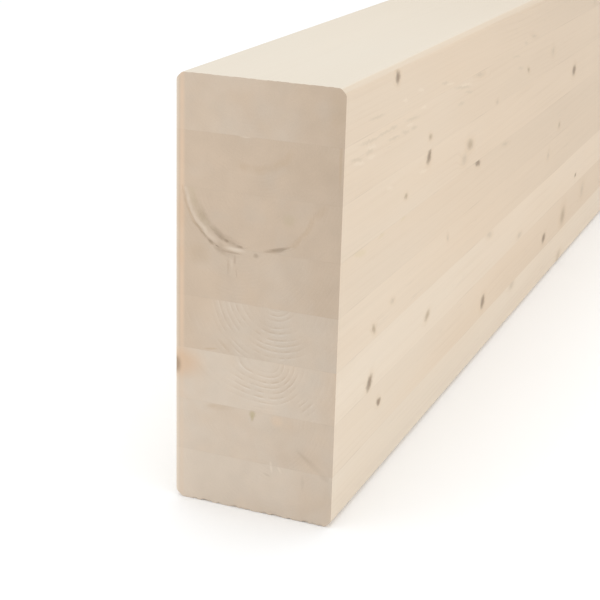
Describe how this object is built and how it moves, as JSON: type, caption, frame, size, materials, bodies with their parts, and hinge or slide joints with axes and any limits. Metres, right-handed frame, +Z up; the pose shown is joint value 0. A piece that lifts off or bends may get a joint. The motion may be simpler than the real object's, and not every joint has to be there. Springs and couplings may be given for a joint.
{
  "type": "glued laminated timber beam",
  "caption": "Straight glued laminated softwood beam of stacked flat lamellae with planed faces and chamfered long edges, for carrying floors, roofs and lintels.",
  "frame": {"origin": "middle of the underside, which is the narrow face the beam stands on", "axes": "+X along the beam away from the end that the picture shows, +Y across its width, +Z up through its depth"},
  "size_m": [3, 0.14, 0.36],
  "materials": {
    "spruce": "planed, bare, with saw-cut end grain"
  },
  "bodies": {
    "root": {"bottom_lamella": "spruce", "lamella_2": "spruce", "lamella_3": "spruce", "lamella_4": "spruce", "lamella_5": "spruce", "lamella_6": "spruce", "lamella_7": "spruce", "top_lamella": "spruce"}
  },
  "joints": []
}
